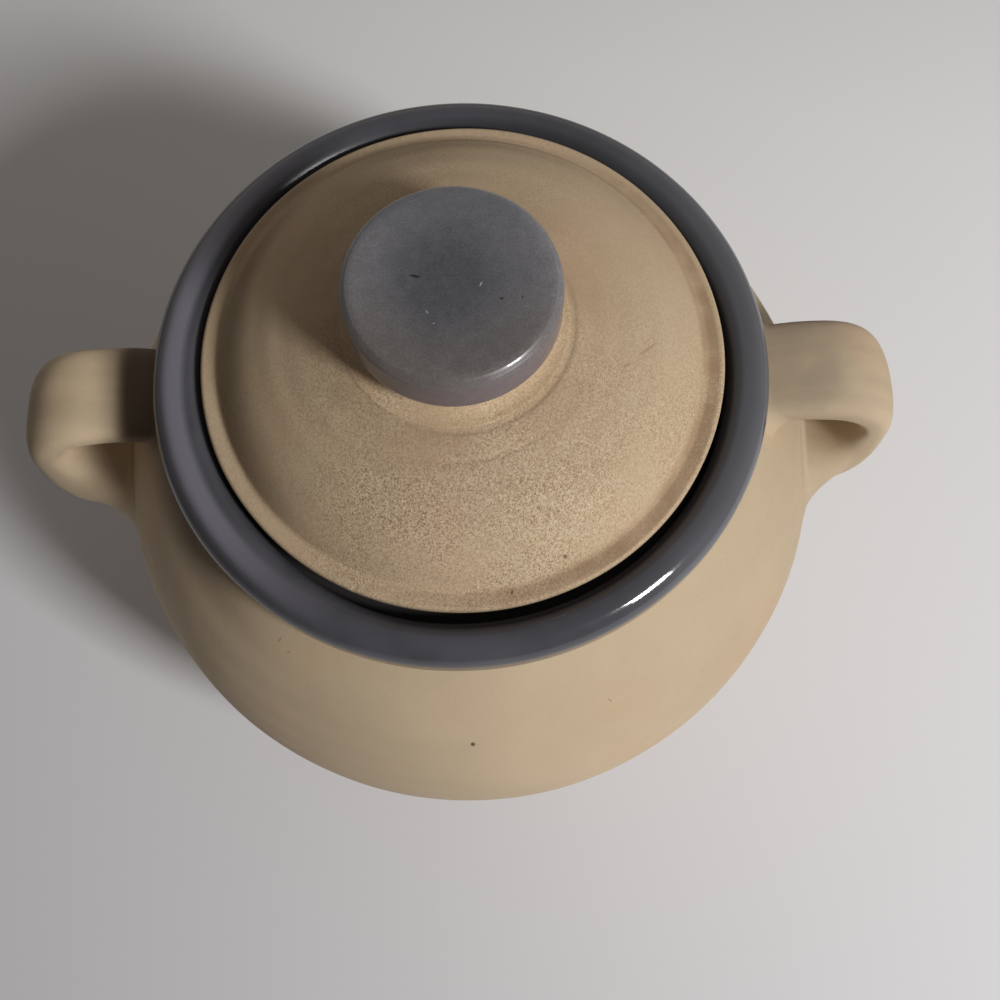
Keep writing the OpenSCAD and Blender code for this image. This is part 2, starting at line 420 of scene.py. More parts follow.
class Strap:
    """A pulled clay strap: an arch out from the shoulder, a bend, a leg and a foot that curves in.

    A place along it is a share, from 0 at the root to 1 at the end of the foot. It is shaped as for the
    right side, and half a turn about the pot's axis brings it to the left.
    """

    ROOT_LENGTH = 23.0
    BEND_R = 10.5
    LEG_BEND_R = 34.0
    FOOT_DEGREES = 52.0
    THICKNESS = 3.4
    LEG_BULGE = 1.3
    FOOT_BULGE = 0.5
    LEG_SPREAD = 0.5
    SQUARENESS = 3.4
    BACK_ROUNDING = 1.1
    FRONT_ROUNDING = 0.5
    FILLET_CUT = 1.3
    DEEPEST = 1.6
    FOOT_SUNK = 1.2
    LUMPS = 0.16

    def __init__(self, side, top_z, arch_r, leg_x, leg_h, half_w, flare, swelling, aside, lean,
                 root_round, foot_round, seed):
        """Side is 1 for the right strap and -1 for the left one. All but side and seed are millimetres.

        The foot flares to the sides and swells inwards. The strap sits aside to the back, and its leg leans
        to the front. The rounds are the fillets where the strap meets the belly.
        """
        self.side = side
        self.top_z = top_z
        self.arch_r = arch_r
        self.leg_x = leg_x
        self.leg_h = leg_h
        self.half_w = half_w
        self.flare = flare
        self.swelling = swelling
        self.aside = aside
        self.lean = lean
        self.root_round = root_round
        self.foot_round = foot_round
        self.seed = seed
        self.bend_x = leg_x - self.BEND_R
        self.bend_z = top_z - self.BEND_R
        self.lengths = [
            self.ROOT_LENGTH,
            self.BEND_R * math.pi / 2,
            leg_h,
            self.LEG_BEND_R * math.radians(self.FOOT_DEGREES),
        ]

    def middle(self, along):
        """Point and direction of the strap's middle line."""
        left = along * sum(self.lengths)
        arch, bend, leg, _ = self.lengths
        if left < arch:
            angle = (self.ROOT_LENGTH - left) / self.arch_r
            x = self.bend_x - self.arch_r * math.sin(angle)
            z = self.top_z - self.arch_r * (1 - math.cos(angle))
            return x, z, math.cos(angle), math.sin(angle)
        left -= arch
        if left < bend:
            angle = math.pi / 2 - left / self.BEND_R
            x = self.bend_x + self.BEND_R * math.cos(angle)
            z = self.bend_z + self.BEND_R * math.sin(angle)
            return x, z, math.sin(angle), -math.cos(angle)
        left -= bend
        if left < leg:
            return self.leg_x, self.bend_z - left, 0.0, -1.0
        angle = (left - leg) / self.LEG_BEND_R
        x = self.leg_x - self.LEG_BEND_R * (1 - math.cos(angle))
        z = self.bend_z - self.leg_h - self.LEG_BEND_R * math.sin(angle)
        return x, z, -math.sin(angle), -math.cos(angle)

    def section(self, along):
        """Half the width, the thickness outwards and inwards, and how far the strap has become the leg."""
        leg = smooth_step(0.15, 0.50, along)
        foot = smooth_step(0.42, 0.75, along)
        half_w = self.half_w + self.LEG_SPREAD * leg + self.flare * foot
        outer_t = self.THICKNESS + self.LEG_BULGE * leg + self.FOOT_BULGE * foot
        inner_t = self.THICKNESS + self.swelling * smooth_step(0.46, 0.78, along)
        return half_w, outer_t, inner_t, leg

    def fillet(self, skin, spread, along):
        """The skin's point spread out in a round fillet where it comes close to the belly."""
        round_r = self.root_round + (self.foot_round - self.root_round) * smooth_step(0.3, 0.6, along)
        gap, outwards = belly_gap(skin)
        round_r *= max(0.0, 1 - self.FILLET_CUT * max(0.0, spread.dot(outwards)))
        gap = min(round_r, max(0.0, gap))
        return skin + spread * (round_r - math.sqrt(gap * (2 * round_r - gap))) * MM

    def smeared(self, skin, along):
        """The skin's point pressed into the belly near the foot's end, and nowhere deep inside the wall."""
        gap, outwards = belly_gap(skin)
        sunk = smooth_step(0.76, 1.0, along)
        level = max(-self.DEEPEST, gap * (1 - sunk) - self.FOOT_SUNK * sunk)
        return skin - outwards * (gap - level) * MM

    def point(self, along, around):
        """A point on the strap's skin, in metres."""
        x, z, run_x, run_z = self.middle(along)
        half_w, outer_t, inner_t, leg = self.section(along)
        c = math.cos(around)
        s = math.sin(around)
        rounding = self.BACK_ROUNDING if s * self.side > 0 else self.FRONT_ROUNDING
        power = self.SQUARENESS - rounding * leg
        out = (outer_t if c > 0 else inner_t) * math.copysign(abs(c) ** (2 / power), c)
        middle_y = self.side * (self.aside - self.lean * leg)
        across = half_w * math.copysign(abs(s) ** (2 / power), s) + middle_y
        skin = Vector((x - run_z * out, across, z + run_x * out)) * MM
        core = Vector((x, middle_y, z)) * MM
        spread = (skin - core).normalized()
        skin = self.fillet(skin, spread, along)
        skin += spread * self.LUMPS * MM * lumps(skin, size=9, seed=self.seed)
        skin = self.smeared(skin, along)
        if self.side < 0:
            skin.x = -skin.x
            skin.y = -skin.y
        return skin


def smeared_normal(vert):
    """The strap's normal, turned into the pot's where the clay is smeared onto it."""
    gap, outwards = belly_gap(vert.co)
    return vert.normal.lerp(outwards, smooth_step(1.8, 0.2, gap)).normalized()


def strap_handle(name, strap, finish, node):
    """A flat grid rolled up lengthwise into the strap and closed at its hidden ends."""
    mesh = bmesh.new()
    bmesh.ops.create_grid(mesh, x_segments=STRAP_STEPS_ALONG, y_segments=STRAP_STEPS_AROUND, size=1)
    for vert in mesh.verts:
        along = (vert.co.x + 1) / 2
        around = (vert.co.y + 1) * math.pi
        vert.co = strap.point(along, around)
    bmesh.ops.remove_doubles(mesh, verts=mesh.verts, dist=WELD)
    open_edges = [edge for edge in mesh.edges if edge.is_boundary]
    bmesh.ops.holes_fill(mesh, edges=open_edges, sides=0)
    bmesh.ops.recalc_face_normals(mesh, faces=mesh.faces)
    mesh.normal_update()
    normals = [smeared_normal(vert) for vert in mesh.verts]
    piece = finished(name, mesh, finish, "pot", node)
    piece.data.normals_split_custom_set_from_vertices(normals)


# Shapes of the lid

def tooled_dome(co, r, turn, fillet_r):
    """Shallow rings and lumps, a groove round the crown, a score in front and a filled crease behind."""
    away = smooth_step(CROWN_R - 1, CROWN_R + 4, r) * smooth_step(fillet_r, fillet_r - 4, r)
    rings = DOME_RINGS * math.sin(math.tau * r / DOME_RING_SPACING + turn)
    rings += DOME_LUMPS * lumps(co, size=17, seed=2.3)
    co.z += away * rings * MM
    cut = CROWN_GROOVE * (0.5 + 0.5 * math.cos(turn + CROWN_GROOVE_TURN))
    co.z -= cut * bell(r, CROWN_GROOVE_R, 0.8) * MM
    co.z += BACK_FILL * bell(r, BACK_FILL_R, 2.8) * smooth_step(0.1, 0.8, math.sin(turn)) * MM
    front = smooth_step(0.80, 0.97, math.cos(turn + FRONT_SCORE_TURN))
    co.z -= FRONT_SCORE * bell(r, FRONT_SCORE_R, 0.8) * front * MM


def lid_clay(finish):
    """The domed lid: undercut edge, flat band, steep shoulder, tooled groove round the crown, hollow."""
    hollow_low = level_degrees(HOLLOW_R, HOLLOW_MID_Z, LID_LOW_Z)
    edge_mid_z = LID_EDGE_Z - LID_EDGE_ROUND
    slope = math.radians(CROWN_SLOPE)
    dome_r = CROWN_R - DOME_ARC_R * math.sin(slope)
    dome_z = CROWN_Z - DOME_ARC_R * math.cos(slope)
    slope = math.radians(SHOULDER_SLOPE)
    arc_r = SHOULDER_R - SHOULDER_ARC_R * math.sin(slope)
    arc_z = dome_z + (DOME_ARC_R - SHOULDER_ARC_R) * math.cos(slope)
    fillet_z = LID_EDGE_Z + BAND_FILLET_R
    fillet_r = arc_r + math.sqrt((SHOULDER_ARC_R + BAND_FILLET_R) ** 2 - (fillet_z - arc_z) ** 2)
    fillet_turn = degrees_at(arc_r, arc_z, fillet_r, fillet_z)
    pen = Pen(0, HOLLOW_MID_Z + HOLLOW_R)
    pen.arc(0, HOLLOW_MID_Z, hollow_low - 90, 30)
    pen.line(LID_FOOT_R - LID_FOOT_EDGE, LID_LOW_Z, 3)
    pen.line(LID_FOOT_R, LID_LOW_Z + LID_FOOT_EDGE)
    pen.line(LID_R - LID_LIP_W, LID_EDGE_LOW_Z - LID_LIP_H, 5)
    pen.line(LID_R, LID_EDGE_LOW_Z)
    pen.line(LID_R, edge_mid_z, 2)
    pen.arc(LID_R - LID_EDGE_ROUND, edge_mid_z, 90, 6)
    pen.line(fillet_r, LID_EDGE_Z, 4)
    pen.arc(fillet_r, fillet_z, fillet_turn - 90, 6)
    pen.arc(arc_r, arc_z, 90 - SHOULDER_SLOPE - fillet_turn, 26)
    pen.arc(dome_r, dome_z, SHOULDER_SLOPE - CROWN_SLOPE - GROOVE_DEGREES, 36)
    pen.arc(dome_r, dome_z, GROOVE_DEGREES, 18)
    pen.line(0, CROWN_Z, 16)
    mesh = pen.turn()
    for vert in mesh.verts:
        r, z, turn = polar(vert.co)
        outside = math.hypot(r, z - HOLLOW_MID_Z) > HOLLOW_R + 1
        if outside:
            drift = LID_GROWTH + LID_DRIFT * math.cos(turn - LID_DRIFT_TURN)
            swell(vert.co, r, drift * smooth_step(28, 45, r))
        if z > LID_EDGE_Z - 0.1 and r < fillet_r:
            tooled_dome(vert.co, r, turn, fillet_r)
        elif z > LID_LOW_Z + 1:
            swell(vert.co, r, EDGE_LUMPS * lumps(vert.co, size=18, seed=6.1))
    finished("lid_dome", mesh, finish, "lid", "lid_body")


def lid_lining(finish):
    """The glaze under the lid's dome."""
    inner_r = HOLLOW_R - LINING_T
    outer_low = level_degrees(HOLLOW_R, HOLLOW_MID_Z, LID_LOW_Z)
    inner_low = level_degrees(inner_r, HOLLOW_MID_Z, LID_LOW_Z)
    pen = Pen(0, HOLLOW_MID_Z + HOLLOW_R)
    pen.arc(0, HOLLOW_MID_Z, outer_low - 90, 30)
    pen.line(inner_r * math.cos(math.radians(inner_low)), LID_LOW_Z)
    pen.arc(0, HOLLOW_MID_Z, 90 - inner_low, 36)
    mesh = pen.turn()
    finished("lid_lining", mesh, finish, "lid", "lid_liner_glaze")


def knob_clay(finish):
    """The clay of the knob: a disc on a neck, with a fillet at its foot."""
    disc_r = KNOB_R - COAT_T
    low_edge = KNOB_LOW_EDGE_R - COAT_T
    top_edge = KNOB_TOP_EDGE_R - COAT_T
    low_z = KNOB_LOW_Z + COAT_T
    top_z = KNOB_TOP_Z - COAT_T
    foot_r = NECK_R + NECK_FILLET_R
    pen = Pen(0, CROWN_Z)
    pen.line(foot_r, CROWN_Z, 12)
    pen.line(foot_r, CROWN_Z + NECK_SKIRT)
    pen.arc(foot_r, CROWN_Z + NECK_SKIRT + NECK_FILLET_R, -90, 14)
    pen.line(NECK_R, low_z, 2)
    pen.line(disc_r - low_edge, low_z, 3)
    pen.arc(disc_r - low_edge, low_z + low_edge, 90, 4)
    pen.line(disc_r, top_z - top_edge, 4)
    pen.arc(disc_r - top_edge, top_z - top_edge, 90, 6)
    pen.line(0, top_z, 10)
    mesh = pen.turn()
    finished("knob_stem", mesh, finish, "lid", "knob")


def knob_coat(finish):
    """The coat of glaze over the knob's disc, with a flat and slightly uneven top."""
    disc_r = KNOB_R - COAT_T
    low_edge = KNOB_LOW_EDGE_R - COAT_T
    top_edge = KNOB_TOP_EDGE_R - COAT_T
    low_z = KNOB_LOW_Z + COAT_T
    top_z = KNOB_TOP_Z - COAT_T
    flat_r = KNOB_R - KNOB_TOP_EDGE_R
    round_z = KNOB_TOP_Z - KNOB_TOP_EDGE_R
    pen = Pen(0, top_z)
    pen.line(disc_r - top_edge, top_z, 10)
    pen.arc(disc_r - top_edge, top_z - top_edge, -90, 6)
    pen.line(disc_r, low_z + low_edge, 4)
    pen.arc(disc_r - low_edge, low_z + low_edge, -90, 4)
    pen.line(NECK_R, low_z, 3)
    pen.line(NECK_R, KNOB_LOW_Z)
    pen.line(KNOB_R - KNOB_LOW_EDGE_R, KNOB_LOW_Z, 3)
    pen.arc(KNOB_R - KNOB_LOW_EDGE_R, KNOB_LOW_Z + KNOB_LOW_EDGE_R, 90, 7)
    pen.line(KNOB_R, round_z, 8)
    pen.arc(flat_r, round_z, 90, 28)
    pen.line(0, KNOB_TOP_Z, 26)
    mesh = pen.turn()
    for vert in mesh.verts:
        r, z, _ = polar(vert.co)
        tilt = degrees_at(flat_r, round_z, r, z)
        if r > disc_r - top_edge / 2 and z > top_z - top_edge:
            swell(vert.co, r, KNOB_EDGE_BEAD * bell(tilt, 30, 9))
        if z > KNOB_TOP_Z - COAT_T / 2:
            flat = smooth_step(flat_r + 1, flat_r - 4, r)
            vert.co.z += KNOB_LUMPS * lumps(vert.co, size=9, seed=4.4) * flat * MM
            vert.co.z -= KNOB_TOP_FALL * (r / flat_r) ** 4 * smooth_step(flat_r + 2, flat_r, r) * MM
        elif r > disc_r + COAT_T / 2:
            swell(vert.co, r, KNOB_LUMPS * lumps(vert.co, size=10, seed=7.7))
    finished("knob_coat", mesh, finish, "lid", "knob_glaze")


# Finishes

def srgb(red, green, blue):
    """A colour as seen on screen, 0 to 255, as the linear colour that Blender takes."""
    def linear(value):
        share = value / 255
        return share / 12.92 if share <= 0.04045 else ((share + 0.055) / 1.055) ** 2.4
    return linear(red), linear(green), linear(blue), 1.0


class Finish:
    """A material that is mixed from patterns on the piece's own coordinates."""

    def __init__(self, name):
        self.material = bpy.data.materials.new(name)
        self.material.use_nodes = True
        self.tree = self.material.node_tree
        self.shader = self.tree.nodes["Principled BSDF"]
        self.coords = self.add("ShaderNodeTexCoord").outputs["Object"]

    def add(self, kind, **settings):
        node = self.tree.nodes.new(kind)
        for key, value in settings.items():
            setattr(node, key, value)
        return node

    def feed(self, socket, value):
        """Links a node's output to the socket, or sets a plain value on it."""
        if isinstance(value, bpy.types.NodeSocket):
            self.tree.links.new(value, socket)
        else:
            socket.default_value = value

    def moved(self, offset, stretch=(1, 1, 1)):
        """The piece's coordinates in metres, stretched and then moved."""
        node = self.add("ShaderNodeMapping")
        node.inputs["Location"].default_value = offset
        node.inputs["Scale"].default_value = stretch
        self.feed(node.inputs["Vector"], self.coords)
        return node.outputs["Vector"]

    def cloud(self, size, detail=3.0, rough=0.5, offset=(0, 0, 0), stretch=(1, 1, 1)):
        """Noise from 0 to 1 with features of about that size in millimetres."""
        node = self.add("ShaderNodeTexNoise")
        self.feed(node.inputs["Vector"], self.moved(offset, stretch))
        node.inputs["Scale"].default_value = 1 / (size * MM)
        node.inputs["Detail"].default_value = detail
        node.inputs["Roughness"].default_value = rough
        return node.outputs["Fac"]

    def cells(self, size, offset):
        """Cells of about that size in millimetres: distance from a cell's middle, and its chance colour."""
        node = self.add("ShaderNodeTexVoronoi", feature="F1")
        self.feed(node.inputs["Vector"], self.moved(offset))
        node.inputs["Scale"].default_value = 1 / (size * MM)
        chance = self.add("ShaderNodeSeparateColor")
        self.feed(chance.inputs["Color"], node.outputs["Color"])
        return node.outputs["Distance"], chance.outputs

    def specks(self, spacing, size, share, offset=(0, 0, 0)):
        """1 inside round specks of that size, on a share of the cells of that spacing."""
        distance, chance = self.cells(spacing, offset)
        edge = size / spacing / 2
        dot = self.between(distance, edge, edge * 0.6)
        chosen = self.maths("LESS_THAN", chance["Red"], share)
        return self.times(dot, chosen)

    def grains(self, size, offset=(0, 0, 0)):
        """A chance value from 0 to 1 for each grain of about that size in millimetres."""
        return self.cells(size, offset)[1]["Green"]

    def mark(self, x, y, degrees, length, width, z=0, depth=1e6):
        """1 inside a single mark, seen from above: a scratch or a pit at a place in millimetres."""
        node = self.add("ShaderNodeMapping", vector_type="TEXTURE")
        node.inputs["Location"].default_value = (x * MM, y * MM, z * MM)
        node.inputs["Rotation"].default_value = (0, 0, math.radians(degrees))
        node.inputs["Scale"].default_value = (length / 2 * MM, width / 2 * MM, depth * MM)
        self.feed(node.inputs["Vector"], self.coords)
        reach = self.add("ShaderNodeVectorMath", operation="LENGTH")
        self.feed(reach.inputs[0], node.outputs["Vector"])
        return self.between(reach.outputs["Value"], 1.0, 0.4)

    def marked(self, colour, marks, tone, share):
        """The colour with a few single marks laid on it in one tone."""
        for mark in marks:
            colour = self.mix(self.times(self.mark(*mark), share), colour, tone)
        return colour

    def maths(self, operation, a, b=0.0):
        node = self.add("ShaderNodeMath", operation=operation)
        self.feed(node.inputs[0], a)
        self.feed(node.inputs[1], b)
        return node.outputs[0]

    def times(self, a, b):
        return self.maths("MULTIPLY", a, b)

    def between(self, value, low, high, to_low=0.0, to_high=1.0, change="SMOOTHSTEP"):
        """A change from to_low to to_high as the value goes from low to high."""
        node = self.add("ShaderNodeMapRange", interpolation_type=change)
        self.feed(node.inputs["Value"], value)
        node.inputs["From Min"].default_value = low
        node.inputs["From Max"].default_value = high
        node.inputs["To Min"].default_value = to_low
        node.inputs["To Max"].default_value = to_high
        return node.outputs["Result"]

    def over(self, place, low, high, to_low=0.0, to_high=1.0):
        """A smooth change over a stretch of a coordinate or radius, with its ends in millimetres."""
        return self.between(place, low * MM, high * MM, to_low, to_high)

    def mix(self, share, a, b, how="MIX"):
        node = self.add("ShaderNodeMix", data_type="RGBA", blend_type=how)
        self.feed(node.inputs["Factor"], share)
        self.feed(node.inputs["A"], a)
        self.feed(node.inputs["B"], b)
        return node.outputs["Result"]

    def toned(self, colour, tone):
        """The colour made lighter or darker by a factor."""
        return self.mix(1.0, colour, tone, "MULTIPLY")

    def axes(self):
        node = self.add("ShaderNodeSeparateXYZ")
        self.feed(node.inputs["Vector"], self.coords)
        return node.outputs["X"], node.outputs["Y"], node.outputs["Z"]

    def towards(self, right, back):
        """Distance from the axis in a level direction, given by its shares to the right and the back."""
        node = self.add("ShaderNodeVectorMath", operation="DOT_PRODUCT")
        self.feed(node.inputs[0], self.coords)
        node.inputs[1].default_value = (right, back, 0)
        return node.outputs["Value"]

    def radius(self):
        """Distance from the Z axis, in metres."""
        flat = self.moved((0, 0, 0), (1, 1, 0))
        node = self.add("ShaderNodeVectorMath", operation="LENGTH")
        self.feed(node.inputs[0], flat)
        return node.outputs["Value"]

    def bump(self, height, depth, under=None):
        """Relief of that depth in millimetres, on top of another relief if one is given."""
        node = self.add("ShaderNodeBump")
        node.inputs["Strength"].default_value = 1.0
        node.inputs["Distance"].default_value = depth * MM
        self.feed(node.inputs["Height"], height)
        if under is not None:
            self.feed(node.inputs["Normal"], under)
        return node.outputs["Normal"]

    def done(self, colour, roughness, normal=None):
        self.feed(self.shader.inputs["Base Color"], colour)
        self.feed(self.shader.inputs["Roughness"], roughness)
        if normal is not None:
            self.feed(self.shader.inputs["Normal"], normal)
        return self.material


def buff_clay(finish, colour, grain, sandy):
    """Shared colour of the bare clays: clouds, warm and ashen patches, sand and iron spots."""
    patches = finish.between(finish.cloud(30), 0.35, 0.68, 0.0, 0.40)
    colour = finish.mix(patches, colour, srgb(195, 174, 143))
    warm = finish.between(finish.cloud(21, offset=(0.31, 0.07, 0.12)), 0.50, 0.72, 0.0, 0.36)
    colour = finish.mix(warm, colour, srgb(190, 157, 127))
    ashen = finish.between(finish.cloud(17, offset=(0.11, 0.53, 0.27)), 0.53, 0.74, 0.0, 0.16)
    colour = finish.mix(ashen, colour, srgb(173, 154, 130))
    grains = finish.grains(0.21, (0.013, 0.021, 0.009))
    brown = finish.times(finish.between(grains, 0.50, 0.0, 0.0, grain), sandy)
    colour = finish.mix(brown, colour, srgb(124, 94, 66))
    light = finish.times(finish.between(grains, 0.60, 1.0, 0.0, grain * 0.7), sandy)
    colour = finish.mix(light, colour, srgb(226, 206, 174))
    dark = finish.times(finish.specks(1.10, 0.40, 0.22), finish.times(sandy, grain * 0.9))
    colour = finish.mix(dark, colour, srgb(104, 80, 58))
    pale = finish.times(finish.specks(2.3, 0.36, 0.12, (0.017, 0.029, 0.005)), 0.35)
    colour = finish.mix(pale, colour, srgb(216, 200, 172))
    iron = finish.times(finish.specks(15.0, 0.8, 0.22, (0.0031, 0.0007, 0.0013)), 0.6)
    return finish.mix(iron, colour, srgb(96, 75, 56))


def fine_sand(finish):
    """Height of the fine sand in the bare clays."""
    return finish.cloud(0.19, 1.0, 0.6)


def clay_roughness(finish, size, low, high):
    """Matt, in soft patches of about that size in millimetres."""
    return finish.between(finish.cloud(size), 0.3, 0.7, low, high)


def thrown_colour(finish):
    """Colour of the thrown clay: paler low down and darker on the right, as painted light and shade.

    A dark tint on the left, under the rim, stands in for the shade there.
    """
    sandy = finish.between(finish.cloud(11), 0.35, 0.65, 0.4, 1.0)
    x, _, z = finish.axes()
    colour = buff_clay(finish, srgb(182, 162, 134), 0.08, sandy)
    # painted light and shade: the clay paler low down and on the left, darker on the right
    tone = finish.times(finish.over(x, 10, 68, 1.08, 0.92), finish.over(z, 60, 98, 1.10, 1.0))
    colour = finish.toned(colour, tone)
    shade = finish.times(finish.over(z, 101, 111), finish.over(x, -36, -56, 0.0, 0.75))
    return finish.mix(shade, colour, srgb(82, 64, 48))


def pot_clay_finish():
    """Smooth buff clay with a pit and a few nicks, and painted shade in the channel beside the seat."""
    finish = Finish("buff_stoneware")
    _, _, z = finish.axes()
    radius = finish.radius()
    colour = thrown_colour(finish)
    pits = [(-0.4, -71.6, 0, 1.3, 0.9, 97, 20)]
    colour = finish.marked(colour, pits, srgb(62, 50, 40), 0.9)
    nicks = [
        (-37.1, -51.2, 40, 1.6, 0.5, 109, 20),
        (-35.6, -53.5, 20, 0.9, 0.4, 108, 20),
        (27.3, -64.2, -30, 1.4, 0.4, 100, 20),
    ]
    colour = finish.marked(colour, nicks, srgb(130, 108, 84), 0.6)
    # painted shade: the clay darkened in the channel beside the seat
    channel_shade = finish.times(finish.over(radius, 48.5, 49.0), finish.over(radius, 53.0, 52.5))
    channel_shade = finish.times(channel_shade, finish.over(z, 116, 117))
    colour = finish.mix(channel_shade, colour, srgb(38, 33, 29))
    relief = finish.bump(finish.cloud(5, 3.0, 0.6), 0.08)
    relief = finish.bump(fine_sand(finish), 0.012, relief)
    return finish.done(colour, clay_roughness(finish, 6, 0.70, 0.86), relief)


def belly_nearness(finish, z):
    """1 on the belly's surface, falling to 0 a little way out from it."""
    out_r = finish.maths("SUBTRACT", finish.radius(), UPPER_MID_R * MM)
    out_z = finish.maths("SUBTRACT", z, BELLY_Z * MM)
    reach = finish.maths("ADD", finish.times(out_r, out_r), finish.times(out_z, out_z))
    gap = finish.maths("SUBTRACT", finish.maths("SQRT", reach), UPPER_ARC_R * MM)
    return finish.over(gap, 2.6, 0.4)


def handle_clay_finish():
    """The clay of the straps: pulled smooth lengthwise, greyer on top by the pot, like the pot at the joins.

    Tints on the left strap stand in for the light on its top and the shade at its end and its root.
    """
    finish = Finish("wiped_strap_stoneware")
    x, _, z = finish.axes()
    colour = buff_clay(finish, srgb(180, 160, 132), 0.08, 0.6)
    planes = finish.cloud(5, 2.0, 0.5, (0.2, 0.4, 0.1), (0.18, 1, 0.18))
    colour = finish.toned(colour, finish.between(planes, 0.32, 0.68, 0.93, 1.04))
    near = finish.times(finish.over(x, 88, 74), finish.over(x, 60, 70))
    top = finish.over(z, 106, 114)
    ash = finish.times(finish.times(near, top), finish.between(finish.cloud(9), 0.3, 0.65, 0.20, 0.60))
    colour = finish.mix(ash, colour, srgb(154, 138, 119))
    left_tone = finish.times(finish.over(x, -72, -77, 1.0, 1.2), finish.over(x, -83, -91, 1.0, 0.64))
    colour = finish.toned(colour, left_tone)
    left_root = finish.times(finish.over(x, -72.5, -69.0), finish.over(x, -10, -20, 0.0, 0.8))
    colour = finish.mix(left_root, colour, srgb(92, 72, 56))
    colour = finish.mix(belly_nearness(finish, z), colour, thrown_colour(finish))
    relief = finish.bump(finish.cloud(5, 3.0, 0.6, stretch=(0.3, 1, 0.3)), 0.10)
    relief = finish.bump(fine_sand(finish), 0.010, relief)
    return finish.done(colour, clay_roughness(finish, 6, 0.70, 0.86), relief)


def lid_clay_finish():
    """Sandy buff clay, browner round the crown and on the flat band, with painted shade under the edge.

    A dark tint in the crease on its left stands in for the shade there.
    """
    finish = Finish("sandy_lid_stoneware")
    x, y, z = finish.axes()
    radius = finish.radius()
    sandy = finish.times(finish.between(finish.cloud(12), 0.30, 0.62, 0.55, 1.0),
                         finish.over(y, 12, -16, 0.35, 1.0))
    sandy = finish.times(sandy, finish.over(x, -40, -12, 0.30, 1.0))
    sandy = finish.times(sandy, finish.over(x, 10, 36, 1.0, 0.62))
    colour = buff_clay(finish, srgb(180, 157, 127), 0.80, sandy)
    stains = finish.between(finish.cloud(10, offset=(0.4, 0.2, 0)), 0.3, 0.65, 0.15, 0.60)
    brown = finish.times(finish.over(radius, 36, 22), stains)
    colour = finish.mix(brown, colour, srgb(164, 138, 108))
    right_front = finish.over(finish.towards(0.9, -0.35), 0, 36, 0.10, 1.0)
    band = finish.times(finish.over(radius, 46.2, 47.4), finish.over(radius, 50.7, 50.0))
    band = finish.times(band, finish.between(finish.cloud(6), 0.25, 0.65, 0.25, 0.70))
    colour = finish.mix(finish.times(band, right_front), colour, srgb(146, 117, 88))
    collar = finish.times(finish.over(radius, 21.3, 20.6), finish.over(z, 140.8, 141.2))
    colour = finish.toned(colour, finish.between(collar, 0.0, 1.0, 1.0, 1.25))
    groove = finish.times(finish.over(radius, 20.9, 21.6), finish.over(radius, 22.4, 21.7))
    groove = finish.times(groove, finish.between(right_front, 0.3, 1.0, 0.05, 0.35))
    colour = finish.mix(groove, colour, srgb(128, 102, 76))
    pits = [(18.2, -41.5, 0, 0.9, 0.8), (8.4, -47.2, 70, 1.2, 0.7)]
    colour = finish.marked(colour, pits, srgb(84, 62, 44), 0.8)
    scores = [(35.0, -4.8, 40, 6.5, 0.7), (30.8, -8.4, 30, 2.5, 0.6)]
    colour = finish.marked(colour, scores, srgb(128, 104, 78), 0.45)
    chips = [(-20.9, -45.6, -25, 1.6, 0.8)]
    colour = finish.marked(colour, chips, srgb(206, 190, 164), 0.7)
    # painted shade under the lid's edge, where the gap to the rim lies in shadow
    under = finish.times(finish.over(radius, 46.5, 47.5), finish.over(z, 125, 124))
    colour = finish.mix(under, colour, srgb(52, 44, 37))
    crease = finish.times(finish.over(radius, 40.0, 44.0), finish.over(radius, 47.8, 46.2))
    crease = finish.times(crease, finish.over(x, -26, -42, 0.0, 0.55))
    colour = finish.mix(crease, colour, srgb(112, 88, 64))
    relief = finish.bump(finish.cloud(4, 3.0, 0.6), 0.07)
    relief = finish.bump(finish.times(fine_sand(finish), sandy), 0.05, relief)
    return finish.done(colour, clay_roughness(finish, 5, 0.72, 0.88), relief)


